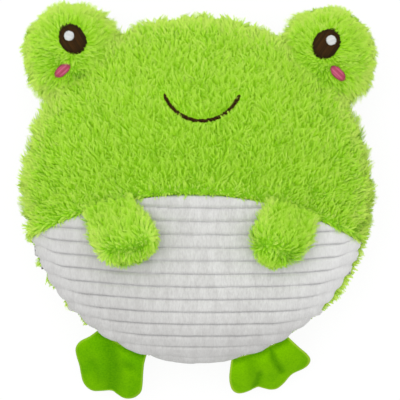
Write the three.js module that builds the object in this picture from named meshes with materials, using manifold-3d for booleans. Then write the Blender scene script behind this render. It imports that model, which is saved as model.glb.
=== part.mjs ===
// A plush frog, lying on its back as a stuffed toy lies on a table: a round furry body with a ribbed belly,
// two stuffed eye lobes, two stuffed arms and two webbed feet. Fabrics are solids with their pile, fillings
// are solids with the play that stuffing has in its cover, and the embroidery lies pressed into the pile.
// Millimetres. +Z is up, out of the belly, and +Y points to the top of the head. The origin is on the table,
// under the middle of the body. Left and right are the frog's own, so its left side is at +X.
import * as THREE from "three";
import { mergeVertices } from "three/addons/utils/BufferGeometryUtils.js";
import Module from "manifold-3d";

const wasm = await Module();
wasm.setup();

// Body: two domes that meet at the seam, the lower one pressed flat by the table
const bodyRadius = 114.5;
const frontRise = 44;
const backDrop = 43;
const tableFlat = 6; // how far the table flattens the back
const seamHeight = backDrop - tableFlat;

// Fabrics, pile included, and the play between pieces that are sewn or stuffed together
const furThickness = 5;
const ribbedThickness = 3.8;
const velourThickness = 1.5;
const sewnGap = 0.4;

// Belly: a panel of wide wales under an arched seam
const walePitch = 8.6;
const waleRelief = 1.5;
const waleShoulderShare = 0.17; // of the pitch, from the groove to the full height of the wale
const archTop = 2.5; // from the body's middle down to the arch at its highest
const archRadius = 210;

// Eye lobes: stuffed bulbs on the upper rim
const lobeRadius = 32.5;
const lobeRise = 27; // half the lobe's thickness
const lobeAround = 43.1; // degrees round the rim from the top of the head
const lobeStand = 8.3; // from the rim out to the lobe's middle
const lobeDrop = 2; // how far the lobe's middle lies under the seam

// Embroidery, pressed into the pile. An eye and a cheek are placed outwards and up from their lobe's middle,
// and the smile from the body's. Leans and turns are in degrees.
const stitchThickness = 1.6;
const stitchDepth = 2.2; // from the tips of the pile down to the top of the stitches
const eye = { outward: -1.3, up: 7.5, halfWidth: 7.9, halfLength: 9.6, lean: 28 };
const glint = { outward: 0.9, up: 9.4, halfWidth: 3.4, halfLength: 3.4, lean: 0 };
const glintThickness = 0.9;
const cheek = { outward: 6.3, up: -12.7, halfWidth: 3.5, halfLength: 5.5, lean: -48 };
const smile = { aside: 2, upShare: 0.615, radius: 25.5, width: 2.2, halfAngle: 71, turn: 1 };

// Arms: stuffed tubes, sewn in where the face meets the belly, their tips resting on the belly. Each is sewn
// in at a share of the body's radius from its middle, leans in at the seam, dips towards the belly and swells
// to its full width at a share of its length. It bends inward on the way to its tip, with a curl before that.
const armHalfThickness = 13;
const armRootHalfWidth = 17.7;
const armRootHalfThickness = 6.6;
const armStuffingShare = 0.15; // of its length, where the stuffing starts
const leftArm = { name: "left", side: 1, offsetShare: 0.541, lean: 17.5, dip: 6 };
const leftArmForm = { length: 39.2, halfWidth: 19.9, swellShare: 0.34, inward: 6.7, curl: 10.8 };
const rightArm = { name: "right", side: -1, offsetShare: 0.495, lean: 22, dip: 6 };
const rightArmForm = { length: 41.5, halfWidth: 21.4, swellShare: 0.55, inward: 10, curl: 0 };
const arms = [
  { ...leftArm, ...leftArmForm },
  { ...rightArm, ...rightArmForm },
];

// Feet: flat flippers with three toes, sewn into the seam at the bottom of the body
const footLength = 42;
const footWidth = 52;
const footHalfThickness = 5;
const footEdgeHalfThickness = 0.8;
const footRootLength = 9; // from the seam to where the wadding is full
const footAround = 24; // degrees round the rim from the bottom of the body
const footMiddleShare = 0.46; // of footLength, the middle that the flipper's outline is drawn round
const toeCreaseAngle = 47; // degrees between the middle toe and each crease
const toeCreaseSpread = 14; // degrees
const toeCreaseShare = 0.45; // of the puff, lost in the crease between two toes
const feet = [
  { name: "left", side: 1, droop: 51 },
  { name: "right", side: -1, droop: 42 },
];
// Half of the flipper's outline, from the middle of its root to the tip of its middle toe, as shares of
// footWidth across and footLength out from the seam
const footOutlineShares = [
  [0.0, 0.0],
  [0.19, -0.01],
  [0.35, -0.035],
  [0.42, 0.22],
  [0.5, 0.48],
  [0.5, 0.68],
  [0.41, 0.8],
  [0.26, 0.79],
  [0.14, 0.94],
  [0.0, 1.0],
];

// One overrun serves every cut
const overrun = 10;

// How finely the forms are faceted
const bodyColumns = 28;
const bodyRows = 18;
const lobeColumns = 22;
const lobeRows = 12;
const armColumns = 16;
const armRingShares = [0.15, 0.27, 0.4, 0.56, 0.76, 0.91]; // of the arm's length
const footRim = 36;
const footRingShares = [0.5, 0.82, 1]; // of the way out to the flipper's outline
const ovalSteps = 12;
const smileSteps = 8;
const archSteps = 20;

const degrees = (angle) => THREE.MathUtils.degToRad(angle);

// Materials
const fabric = (color, roughness) =>
  new THREE.MeshStandardMaterial({ color, roughness, metalness: 0 });
const limeFur = fabric("#94cb2e", 1);
const whiteRibbed = fabric("#e6e5e2", 0.95);
const greenVelour = fabric("#6eb20c", 0.9);
const fibrefill = fabric("#f2f1ec", 1);
const brownThread = fabric("#3d2b1a", 0.5);
const whiteThread = fabric("#efefec", 0.45);
const pinkThread = fabric("#c8556e", 0.5);

// Solids and meshes
function solidOf(geometry) {
  const bare = geometry.clone();
  bare.deleteAttribute("normal");
  bare.deleteAttribute("uv");
  const merged = mergeVertices(bare);
  return new wasm.Manifold(
    new wasm.Mesh({
      numProp: 3,
      vertProperties: merged.attributes.position.array,
      triVerts: new Uint32Array(merged.index.array),
    }),
  );
}

function meshOf(name, solid, material) {
  const cut = solid.getMesh();
  const geometry = new THREE.BufferGeometry();
  geometry.setAttribute("position", new THREE.BufferAttribute(cut.vertProperties, 3));
  geometry.setIndex(new THREE.BufferAttribute(cut.triVerts, 1));
  geometry.computeVertexNormals();
  const mesh = new THREE.Mesh(geometry, material);
  mesh.name = name;
  return mesh;
}

// A closed skin over a start point, rings of equally many points and an end point
function skin(start, rings, end) {
  const around = rings[0].length;
  const points = [start, ...rings.flat(), end];
  const last = points.length - 1;
  const at = (ring, i) => 1 + ring * around + (i % around);
  const faces = [];
  for (let i = 0; i < around; i++) {
    faces.push([0, at(0, i + 1), at(0, i)]);
    faces.push([last, at(rings.length - 1, i), at(rings.length - 1, i + 1)]);
    for (let ring = 0; ring + 1 < rings.length; ring++) {
      faces.push([at(ring, i), at(ring, i + 1), at(ring + 1, i + 1)]);
      faces.push([at(ring, i), at(ring + 1, i + 1), at(ring + 1, i)]);
    }
  }
  // Rings may run either way round, and the faces have to point out
  const volume = faces.reduce(
    (sum, [a, b, c]) => sum + points[a].dot(points[b].clone().cross(points[c])),
    0,
  );
  if (volume < 0) faces.forEach((face) => face.reverse());
  const geometry = new THREE.BufferGeometry().setFromPoints(points);
  geometry.setIndex(faces.flat());
  return solidOf(geometry);
}

// Everything between two heights, past the toy's sides
const reach = 2 * (bodyRadius + lobeRadius) + overrun;
const topOfAll = seamHeight + frontRise + overrun;
function layer(low, high) {
  const box = new THREE.BoxGeometry(2 * reach, 2 * reach, high - low);
  return solidOf(box.translate(0, 0, (low + high) / 2));
}
const frontHalf = layer(seamHeight + sewnGap / 2, topOfAll);
const backHalf = layer(-overrun, seamHeight - sewnGap / 2);

// A flat outline as a prism that stands on the body's seam
function standing(shape, curveSegments) {
  const settings = { depth: reach, bevelEnabled: false, curveSegments };
  return solidOf(new THREE.ExtrudeGeometry(shape, settings).translate(0, 0, seamHeight));
}

// The body's cushion, less an inset all over, as rings round the axis from head to foot. A row is an angle
// from the middle towards the top of the head, and a depth that its ring lies under the surface.
function cushion(inset, rows) {
  const ringOf = ({ angle, depth }) =>
    Array.from({ length: bodyColumns }, (_, i) => {
      const turn = (2 * Math.PI * i) / bodyColumns;
      const rise = (Math.sin(turn) > 0 ? frontRise : backDrop) - inset - depth;
      return new THREE.Vector3(
        (bodyRadius - inset - depth) * Math.cos(angle) * Math.cos(turn),
        (bodyRadius - inset - depth) * Math.sin(angle),
        seamHeight + rise * Math.cos(angle) * Math.sin(turn),
      );
    });
  const pole = (end) => new THREE.Vector3(0, end * (bodyRadius - inset), seamHeight);
  return skin(pole(1), rows.map(ringOf), pole(-1)).intersect(layer(inset, topOfAll));
}

const evenRows = Array.from({ length: bodyRows - 1 }, (_, i) => ({
  angle: Math.PI / 2 - (Math.PI * (i + 1)) / bodyRows,
  depth: 0,
}));
const smoothBody = (inset) => cushion(inset, evenRows);
const clearBody = smoothBody(-sewnGap); // what is sewn to the body keeps this far out

// Rows of the belly: wales of equal width along its middle line, from the top of the arch to the seam
function ribbedRows() {
  const start = -Math.asin(archTop / bodyRadius);
  const line = new THREE.EllipseCurve(0, 0, bodyRadius, frontRise, start, -Math.PI / 2, true);
  const waleShare = walePitch / line.getLength();
  const phases = [0, waleShoulderShare, 1 - waleShoulderShare];
  const ribs = [];
  for (let wale = 0; wale * waleShare < 1; wale++) {
    for (const phase of phases) {
      const along = (wale + phase) * waleShare;
      const angle = start + (-Math.PI / 2 - start) * line.getUtoTmapping(Math.min(along, 1));
      if (along < 1) ribs.push({ angle, depth: phase === 0 ? waleRelief : 0 });
    }
  }
  return [...evenRows.filter(({ angle }) => angle > start + Math.PI / bodyRows), ...ribs];
}

// Everything under the belly's arch, seen from the front, drawn in by a margin
function underArch(margin) {
  const spread = Math.PI / 3;
  const shape = new THREE.Shape();
  const from = Math.PI / 2 - spread;
  shape.absarc(0, -archTop - archRadius, archRadius - margin, from, from + 2 * spread);
  shape.lineTo(-reach, -reach);
  shape.lineTo(reach, -reach);
  return standing(shape, archSteps);
}

// Body: face, belly and back panels over one filling. The belly's pile is the shorter one.
function bodyPieces() {
  const hollow = smoothBody(furThickness);
  const smileBed = smileStroke(sewnGap).subtract(smoothBody(stitchDepth + stitchThickness + sewnGap));
  const front = smoothBody(0).subtract(hollow).intersect(frontHalf);
  const belly = cushion(furThickness - ribbedThickness, ribbedRows())
    .subtract(hollow)
    .intersect(frontHalf)
    .intersect(underArch(sewnGap / 2));
  const back = smoothBody(0).subtract(hollow).intersect(backHalf);
  return [
    meshOf("face_panel", front.subtract(underArch(-sewnGap / 2)).subtract(smileBed), limeFur),
    meshOf("belly_panel", belly, whiteRibbed),
    meshOf("back_panel", back, limeFur),
    meshOf("body_filling", smoothBody(furThickness + sewnGap), fibrefill),
  ];
}

// Smile: one line of stitches with round ends along an arc, widened by a margin
function smileStroke(margin) {
  const { aside, upShare, radius, width, halfAngle, turn } = smile;
  const up = upShare * bodyRadius;
  const half = width / 2 + margin;
  const from = -Math.PI / 2 + degrees(turn - halfAngle);
  const to = -Math.PI / 2 + degrees(turn + halfAngle);
  const endOf = (angle) => [aside + radius * Math.cos(angle), up + radius * Math.sin(angle)];
  const shape = new THREE.Shape();
  shape.absarc(aside, up, radius + half, from, to, false);
  shape.absarc(...endOf(to), half, to, to + Math.PI, false);
  shape.absarc(aside, up, radius - half, to, from, true);
  shape.absarc(...endOf(from), half, from + Math.PI, from + 2 * Math.PI, false);
  return standing(shape, smileSteps);
}

function smilePiece() {
  const stitches = smoothBody(stitchDepth)
    .subtract(smoothBody(stitchDepth + stitchThickness))
    .intersect(smileStroke(0));
  return meshOf("smile", stitches, brownThread);
}

// Eye lobe: a front and a back piece of fur over its own filling, with an eye and a cheek stitched on it
function lobeMiddle(side) {
  const [far, around] = [bodyRadius + lobeStand, degrees(lobeAround)];
  return [side * far * Math.sin(around), far * Math.cos(around), seamHeight - lobeDrop];
}

function bulb(side, inset) {
  const round = new THREE.SphereGeometry(1, lobeColumns, lobeRows);
  round.scale(lobeRadius - inset, lobeRadius - inset, lobeRise - inset);
  return solidOf(round.translate(...lobeMiddle(side)));
}

function oval(side, { outward, up, halfWidth, halfLength, lean }, margin) {
  const [across, along] = [halfWidth + margin, halfLength + margin];
  const [x, y] = lobeMiddle(side);
  const turn = degrees(-side * lean);
  const shape = new THREE.Shape();
  shape.absellipse(x + side * outward, y + up, across, along, 0, 2 * Math.PI, false, turn);
  return standing(shape, ovalSteps);
}

function lobePieces(side, name) {
  const cover = bulb(side, 0).subtract(bulb(side, furThickness)).subtract(clearBody);
  const stitchFloor = stitchDepth + stitchThickness;
  const bed = oval(side, eye, sewnGap)
    .add(oval(side, cheek, sewnGap))
    .subtract(bulb(side, stitchFloor + sewnGap));
  const stitched = (patch, top, floor) =>
    bulb(side, top).subtract(bulb(side, floor)).intersect(oval(side, patch, 0));
  const glintFloor = stitchDepth - sewnGap;
  const filling = bulb(side, furThickness + sewnGap).subtract(clearBody);
  return [
    meshOf(`eye_lobe_front_${name}`, cover.intersect(frontHalf).subtract(bed), limeFur),
    meshOf(`eye_lobe_back_${name}`, cover.intersect(backHalf), limeFur),
    meshOf(`eye_lobe_filling_${name}`, filling, fibrefill),
    meshOf(`eye_${name}`, stitched(eye, stitchDepth, stitchFloor), brownThread),
    meshOf(`eye_glint_${name}`, stitched(glint, glintFloor - glintThickness, glintFloor), whiteThread),
    meshOf(`cheek_${name}`, stitched(cheek, stitchDepth, stitchFloor), pinkThread),
  ];
}

// What the larger body leaves of a limb that is modelled in its pivot's frame
function besideBody(pivot, solid) {
  pivot.updateMatrixWorld(true);
  return solid.subtract(clearBody.transform(pivot.matrixWorld.clone().invert().elements));
}

// Arm, in its pivot's frame: X along the seam that holds it, Y towards its tip, Z away from the body. It
// swells from a flat root, bends inward and ends round, and starts at a share of its length.
function armBlank({ side, halfWidth, swellShare, inward, curl, ...form }, inset, startShare) {
  const length = form.length - inset;
  const bendAt = (share) => side * share * (inward + curl * (1 - share));
  const ringAt = (spot) => {
    const share = Math.max(spot, 0);
    const swell = THREE.MathUtils.smoothstep(share, 0, swellShare);
    const past = Math.max(share - swellShare, 0) / (1 - swellShare);
    const round = Math.sqrt(1 - past ** 2);
    const width = THREE.MathUtils.lerp(armRootHalfWidth, halfWidth, swell);
    const thickness = THREE.MathUtils.lerp(armRootHalfThickness, armHalfThickness, swell);
    return Array.from({ length: armColumns }, (_, i) => {
      const turn = (2 * Math.PI * i) / armColumns;
      const across = bendAt(share) + (width - inset) * round * Math.cos(turn);
      const rise = (thickness - inset) * round * Math.sin(turn);
      return new THREE.Vector3(across, spot * length, (thickness * (1 + round)) / 2 + rise);
    });
  };
  const rings = [startShare, ...armRingShares.filter((share) => share > startShare)].map(ringAt);
  const root = new THREE.Vector3(0, startShare * length, armRootHalfThickness);
  return skin(root, rings, new THREE.Vector3(bendAt(1), length, armHalfThickness / 2));
}

function armPieces(arm) {
  const { name, side, lean, dip } = arm;
  const offset = arm.offsetShare * bodyRadius;
  const under = archTop + archRadius - Math.sqrt(archRadius ** 2 - offset ** 2);
  const rise = frontRise * Math.sqrt(1 - (offset ** 2 + under ** 2) / bodyRadius ** 2);
  const root = new THREE.Vector3(side * offset, -under, rise);
  const out = root.clone().divide(new THREE.Vector3(bodyRadius, bodyRadius, frontRise));
  out.divide(new THREE.Vector3(bodyRadius, bodyRadius, frontRise)).normalize();
  const along = new THREE.Vector3(-side * Math.sin(degrees(lean)), -Math.cos(degrees(lean)), 0);
  along.addScaledVector(out, -along.dot(out)).normalize();
  const across = new THREE.Vector3().crossVectors(along, out);
  const pivot = new THREE.Group();
  pivot.name = `arm_pivot_${name}`;
  pivot.quaternion.setFromRotationMatrix(new THREE.Matrix4().makeBasis(across, along, out));
  pivot.rotateX(-degrees(dip));
  pivot.position.copy(root).addScaledVector(out, sewnGap);
  pivot.position.z += seamHeight;
  const sleeve = armBlank(arm, 0, 0).subtract(armBlank(arm, furThickness, -overrun / arm.length));
  const stuffing = armBlank(arm, furThickness + sewnGap, armStuffingShare);
  pivot.add(
    meshOf(`arm_cover_${name}`, besideBody(pivot, sleeve), limeFur),
    meshOf(`arm_filling_${name}`, besideBody(pivot, stuffing), fibrefill),
  );
  return pivot;
}

// Foot, in its pivot's frame: X along the seam, Y out to the toes, Z up. A puffed flipper whose outline is
// drawn in by a margin, with its faces an inset under the real ones and its rim this thick either way.
function footBlank(margin, inset, edge) {
  const outward = footOutlineShares.map(([x, y]) => new THREE.Vector3(x * footWidth, y * footLength, 0));
  const back = outward
    .slice(1, -1)
    .reverse()
    .map(({ x, y }) => new THREE.Vector3(-x, y, 0));
  const outline = new THREE.CatmullRomCurve3([...outward, ...back], true, "centripetal");
  const rim = outline.getPoints(footRim).slice(0, -1);
  const middle = new THREE.Vector3(0, footMiddleShare * footLength, 0);
  const ringAt = (share, face) =>
    rim.map((point) => {
      const ray = point.clone().sub(middle);
      const size = ray.length() - margin;
      const offCrease = Math.abs(Math.atan2(ray.x, ray.y)) - degrees(toeCreaseAngle);
      const crease = Math.exp(-((offCrease / degrees(toeCreaseSpread)) ** 2));
      const spot = middle.clone().addScaledVector(ray.normalize(), size * share);
      const rooted = THREE.MathUtils.smoothstep(spot.y, 0, footRootLength);
      const puff = (footHalfThickness - inset) * (1 - toeCreaseShare * crease * share) * rooted;
      return spot.setZ(face * (edge + Math.max(puff - edge, 0) * Math.sqrt(1 - share ** 2)));
    });
  const rings = [
    ...footRingShares.map((share) => ringAt(share, 1)),
    ...[...footRingShares].reverse().map((share) => ringAt(share, -1)),
  ];
  const centre = (face) => middle.clone().setZ(face * (footHalfThickness - inset));
  return skin(centre(1), rings, centre(-1));
}

function footPieces({ name, side, droop }) {
  const around = degrees(footAround);
  const stand = bodyRadius + sewnGap + footEdgeHalfThickness;
  const pivot = new THREE.Group();
  pivot.name = `foot_pivot_${name}`;
  pivot.position.set(side * stand * Math.sin(around), -stand * Math.cos(around), seamHeight);
  pivot.rotation.set(0, 0, Math.PI + side * around);
  pivot.rotateX(-degrees(droop));
  const seam = 2 * velourThickness;
  const shell = footBlank(0, 0, footEdgeHalfThickness).subtract(
    footBlank(seam, velourThickness, sewnGap / 2),
  );
  const wadding = footBlank(seam + sewnGap, velourThickness + sewnGap, sewnGap / 4);
  const upper = shell.intersect(layer(sewnGap / 2, topOfAll));
  const sole = shell.intersect(layer(-topOfAll, -sewnGap / 2));
  pivot.add(
    meshOf(`foot_upper_${name}`, besideBody(pivot, upper), greenVelour),
    meshOf(`foot_sole_${name}`, besideBody(pivot, sole), greenVelour),
    meshOf(`foot_wadding_${name}`, besideBody(pivot, wadding), fibrefill),
  );
  return pivot;
}

const frog = new THREE.Group();
frog.name = "plush_frog";
frog.add(...bodyPieces(), smilePiece());
frog.add(...lobePieces(1, "left"), ...lobePieces(-1, "right"));
frog.add(...arms.map(armPieces), ...feet.map(footPieces));

export default frog;
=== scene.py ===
"""A plush frog on its back: fur, ribbed plush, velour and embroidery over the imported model.

Metres. +Z is up, out of the belly, +Y points to the top of the head, and left is the frog's own left, at +X.
"""

from math import asin, cos, pi, radians, sin, sqrt, tan

import bmesh
import bpy
import numpy as np
from mathutils import Matrix, Vector


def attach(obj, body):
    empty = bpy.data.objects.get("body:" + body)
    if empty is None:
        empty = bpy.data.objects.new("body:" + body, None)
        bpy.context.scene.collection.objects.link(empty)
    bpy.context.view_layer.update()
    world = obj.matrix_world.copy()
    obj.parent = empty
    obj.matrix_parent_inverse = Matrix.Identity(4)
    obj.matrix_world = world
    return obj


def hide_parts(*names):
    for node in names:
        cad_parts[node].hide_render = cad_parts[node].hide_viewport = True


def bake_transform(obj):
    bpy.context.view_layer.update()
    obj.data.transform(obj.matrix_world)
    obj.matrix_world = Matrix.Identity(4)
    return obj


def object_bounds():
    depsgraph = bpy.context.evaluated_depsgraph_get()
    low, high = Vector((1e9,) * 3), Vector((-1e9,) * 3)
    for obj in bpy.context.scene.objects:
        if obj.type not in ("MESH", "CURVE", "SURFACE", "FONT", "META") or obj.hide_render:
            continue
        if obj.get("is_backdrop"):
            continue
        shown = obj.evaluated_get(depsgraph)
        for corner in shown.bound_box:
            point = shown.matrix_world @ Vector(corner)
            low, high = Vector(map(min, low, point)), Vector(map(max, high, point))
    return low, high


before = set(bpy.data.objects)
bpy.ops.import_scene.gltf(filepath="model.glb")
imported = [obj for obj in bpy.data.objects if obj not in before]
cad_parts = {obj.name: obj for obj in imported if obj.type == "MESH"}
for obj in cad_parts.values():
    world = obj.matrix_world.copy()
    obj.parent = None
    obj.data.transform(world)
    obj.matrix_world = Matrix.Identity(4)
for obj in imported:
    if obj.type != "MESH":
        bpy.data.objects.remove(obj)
cad_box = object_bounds()

# Studio. A white table under a white sky, one large soft lamp above it, and a camera that looks straight
# down, a little turned, as the toy was photographed.
CAMERA_HEIGHT = 2.5
CAMERA_PLACE = (0.00204, -0.00582)
CAMERA_TURN = radians(0.9)
CAMERA_REACH = 50
SENSOR_WIDTH = 36  # millimetres
SEAM_HEIGHT = 0.037  # of the seam round the body, above the table
VIEW_WIDTH = 0.26  # what the picture spans at the height of that seam
SKY_LEVEL = 0.72
LAMP_HEIGHT = 1.5
LAMP_SIZE = 1.3
LAMP_LEAN = (radians(-12), radians(-8), 0)
LAMP_LEVEL = 0.43  # as a share of white, on a level surface under the lamp
TABLE_SIZE = 30
TABLE_WHITE = 1.03  # how bright the table looks where nothing shades it
TABLE_SHADOW = 0.1  # how much of that the toy's shadow can take
TABLE_GREY = (0.8, 0.8, 0.8, 1)  # the table as its light falls on the toy
WHITE = (1, 1, 1, 1)


def paint(code):
    """A colour from its six-figure code, as the linear values that nodes take"""
    shares = [int(code[i : i + 2], 16) / 255 for i in (0, 2, 4)]
    return (*(s / 12.92 if s < 0.04045 else ((s + 0.055) / 1.055) ** 2.4 for s in shares), 1)


def is_vector(value):
    """Whether a value is a vector or a wire that carries one"""
    return isinstance(value, tuple) or isinstance(value, Wire) and value.socket.type in ("VECTOR", "RGBA")


class Wire:
    """A value on its way through the node tree at hand, so that a tree reads as arithmetic"""

    def __init__(self, socket):
        self.socket = socket

    def math(self, operation, *others):
        """One step of arithmetic, on vectors where any of the values is one"""
        kind = "ShaderNodeVectorMath" if any(map(is_vector, (self, *others))) else "ShaderNodeMath"
        return put(kind, self, *others, operation=operation)

    def __mul__(self, other):
        if is_vector(self) == is_vector(other):
            return self.math("MULTIPLY", other)
        vector, number = (self, other) if is_vector(self) else (other, self)
        return put("ShaderNodeVectorMath", vector, number, operation="SCALE")

    __rmul__ = __mul__
    __add__ = __radd__ = lambda self, other: self.math("ADD", other)
    __sub__ = lambda self, other: self.math("SUBTRACT", other)
    __rsub__ = lambda self, other: self.math("MULTIPLY_ADD", -1.0, other)
    __truediv__ = lambda self, other: self.math("DIVIDE", other)
    __pow__ = lambda self, other: self.math("POWER", other)

    def ramp(self, low, high, to_low=0.0, to_high=1.0):
        """Runs smoothly from to_low to to_high while the value goes from low to high"""
        return put("ShaderNodeMapRange", self, low, high, to_low, to_high, interpolation_type="SMOOTHSTEP")

    def parts(self):
        """The x, y and z of a vector"""
        return [Wire(socket) for socket in put("ShaderNodeSeparateXYZ", self).socket.node.outputs]


def put(kind, *values, output=None, **settings):
    """A new node in the tree at hand, with these settings, its sockets filled in their order, and one of
    its outputs"""
    node = tree.nodes.new(kind)
    for name, value in settings.items():
        setattr(node, name, value)
    sockets = [socket for socket in node.inputs if socket.enabled]
    for socket, value in zip(sockets, values):
        if isinstance(value, Wire):
            tree.links.new(value.socket, socket)
        elif value is not None:
            socket.default_value = value
    return Wire(node.outputs[output] if output else [socket for socket in node.outputs if socket.enabled][0])


def begin(holder):
    """Makes the tree of a new material or sky the one at hand, and empties it"""
    global tree
    holder.use_nodes = True
    tree = holder.node_tree
    tree.nodes.clear()
    return holder


def end(kind, wire):
    """Ends the tree at hand in its output"""
    tree.links.new(wire.socket, tree.nodes.new(kind).inputs[0])


def link_up(name, data):
    """A new object in the scene"""
    thing = bpy.data.objects.new(name, data)
    bpy.context.scene.collection.objects.link(thing)
    return thing


def seen_straight():
    """1 for what the camera sees itself, in a mirror or through glass"""
    rays = put("ShaderNodeLightPath").socket.node.outputs
    looks = [Wire(rays[f"Is {ray} Ray"]) for ray in ("Camera", "Glossy", "Transmission")]
    return looks[0].math("MAXIMUM", looks[1]).math("MAXIMUM", looks[2])


bpy.context.scene.view_settings.view_transform = "Standard"
camera = link_up("camera", bpy.data.cameras.new("camera"))
camera.location = (*CAMERA_PLACE, CAMERA_HEIGHT)
camera.rotation_euler = (0, 0, CAMERA_TURN)
camera.data.sensor_width = SENSOR_WIDTH
camera.data.lens = SENSOR_WIDTH * (CAMERA_HEIGHT - SEAM_HEIGHT) / VIEW_WIDTH
camera.data.clip_end = CAMERA_REACH
bpy.context.scene.camera = camera

lamp = link_up("lamp", bpy.data.lights.new("lamp", "AREA"))
lamp.data.size = LAMP_SIZE
lamp.data.energy = LAMP_LEVEL * pi * pi * LAMP_HEIGHT**2
lamp.rotation_euler = LAMP_LEAN
lamp.location = lamp.rotation_euler.to_matrix() @ Vector((0, 0, LAMP_HEIGHT))

bpy.context.scene.world = begin(bpy.data.worlds.new("sky"))
sky_level = seen_straight() * (1 - SKY_LEVEL) + SKY_LEVEL
end("ShaderNodeOutputWorld", put("ShaderNodeBackground", WHITE, sky_level))

white_table = begin(bpy.data.materials.new("white table"))
shadow_catch = put("ShaderNodeBsdfDiffuse", (TABLE_SHADOW / (SKY_LEVEL + LAMP_LEVEL),) * 3 + (1,))
glow = put("ShaderNodeEmission", WHITE, TABLE_WHITE - TABLE_SHADOW)
seen_table = put("ShaderNodeAddShader", shadow_catch, glow)
top_side = put("ShaderNodeMixShader", seen_straight(), put("ShaderNodeBsdfDiffuse", TABLE_GREY), seen_table)
underneath = put("ShaderNodeNewGeometry", output="Backfacing")
clear = put("ShaderNodeBsdfTransparent", WHITE)
end("ShaderNodeOutputMaterial", put("ShaderNodeMixShader", underneath, top_side, clear))

table_corners = [(x * TABLE_SIZE / 2, y * TABLE_SIZE / 2, 0) for x, y in ((-1, -1), (1, -1), (1, 1), (-1, 1))]
table = link_up("table", bpy.data.meshes.new("table"))
table.data.from_pydata(table_corners, [], [(0, 1, 2, 3)])
table.data.materials.append(white_table)
table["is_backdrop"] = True

# Filling of the body. Loose polyester fibrefill, blown into the sewn cover until it is a full round
# cushion, which the table presses flat underneath.
BODY_RADIUS = 0.1145
FRONT_RISE = 0.044
BACK_DROP = 0.043
FLATTENING = 0.0035  # below this height the back is pressed flat
FUR_THICKNESS = 0.005
SEWN_GAP = 0.0004
FILLING_INSET = FUR_THICKNESS + SEWN_GAP
STUFFING_LUMP = 0.0012
STUFFING_WHITE = paint("f1efe9")
STUFFING_SHADE = paint("d9d6cc")
MERGED = 2e-6  # points nearer than this are one


def mesh_of(name, points, closed=False):
    """A piece over rows of points, which may close round. Points that meet are merged, and the faces are
    turned to point away from the middle of the piece."""
    rows, columns = points.shape[:2]
    index = np.arange(rows * columns).reshape(rows, columns)
    if closed:
        index = np.concatenate([index, index[:, :1]], axis=1)
    corners = (index[:-1, :-1], index[:-1, 1:], index[1:, 1:], index[1:, :-1])
    quads = np.stack(corners, -1).reshape(-1, 4)
    shape = bmesh.new()
    mesh = bpy.data.meshes.new(name)
    mesh.from_pydata(points.reshape(-1, 3).tolist(), [], quads.tolist())
    shape.from_mesh(mesh)
    bmesh.ops.remove_doubles(shape, verts=shape.verts, dist=MERGED)
    middle = Vector(points.reshape(-1, 3).mean(0))
    outward = (f.normal.dot(f.calc_center_median() - middle) * f.calc_area() for f in shape.faces)
    if sum(outward) < 0:
        bmesh.ops.reverse_faces(shape, faces=shape.faces)
    shape.to_mesh(mesh)
    shape.free()
    mesh.shade_smooth()
    return link_up(name, mesh)


def places(piece):
    """A mesh's points, as rows of three numbers"""
    flat = np.empty(3 * len(piece.data.vertices), np.float32)
    piece.data.vertices.foreach_get("co", flat)
    return flat.reshape(-1, 3).astype(float)


def smooth(low, high, value):
    """Runs smoothly from 0 to 1 while the value goes from low to high"""
    share = np.clip((value - low) / (high - low), 0, 1)
    return share * share * (3 - 2 * share)


def new_tree(name, inputs):
    """Begins a Geometry Nodes tree with named inputs, and gives a wire from each"""
    global tree
    kinds = {float: "Float", int: "Int", tuple: "Vector", type(None): "Material"}
    tree = bpy.data.node_groups.new(name, "GeometryNodeTree")
    for way in ("OUTPUT", "INPUT"):
        tree.interface.new_socket("Geometry", in_out=way, socket_type="NodeSocketGeometry")
    for label, value in inputs.items():
        kind = f"NodeSocket{kinds[type(value)]}"
        socket = tree.interface.new_socket(label, in_out="INPUT", socket_type=kind)
        if value is not None:
            socket.default_value = value
    return {socket.name: Wire(socket) for socket in tree.nodes.new("NodeGroupInput").outputs}


def end_tree(given, shape, place=None, offset=None):
    """Ends a tree: points moved, instances made real, and all made smooth and given its material"""
    if place or offset:
        shape = put("GeometryNodeSetPosition", shape, None, place, offset)
    shape = put("GeometryNodeSetShadeSmooth", put("GeometryNodeRealizeInstances", shape))
    end("NodeGroupOutput", put("GeometryNodeSetMaterial", shape, None, given["Material"]))
    return tree


def grow(name, source, maker, inputs, used=(), keep_source=False):
    """What a tree makes of a mesh, as a plain piece without the values that only the tree used"""
    modifier = source.modifiers.new(name, "NODES")
    modifier.node_group = maker
    for socket in maker.interface.items_tree:
        if socket.name in inputs:
            modifier[socket.identifier] = inputs[socket.name]
    depsgraph = bpy.context.evaluated_depsgraph_get()
    mesh = bpy.data.meshes.new_from_object(source.evaluated_get(depsgraph))
    source.modifiers.remove(modifier)
    if not keep_source:
        bpy.data.objects.remove(source)
    for label in used:
        mesh.attributes.remove(mesh.attributes[label])
    return link_up(name, mesh)


def fitted(piece, slot, *nodes, body="body"):
    """Puts a piece in its nodes' place and on its body; without a body it is left unattached. Its slot is not
    used
    """
    if nodes:
        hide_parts(*nodes)
    if body:
        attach(piece, body)
    return piece


def noise(place, scale, detail=2.0, roughness=0.5):
    """Smooth noise from 0 to 1 over a place, its scale in lumps per metre"""
    return put("ShaderNodeTexNoise", place, scale, detail, roughness)


def blended(share, low, high):
    """A colour between two, by a share"""
    return put("ShaderNodeMix", share, low, high, data_type="RGBA")


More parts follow.
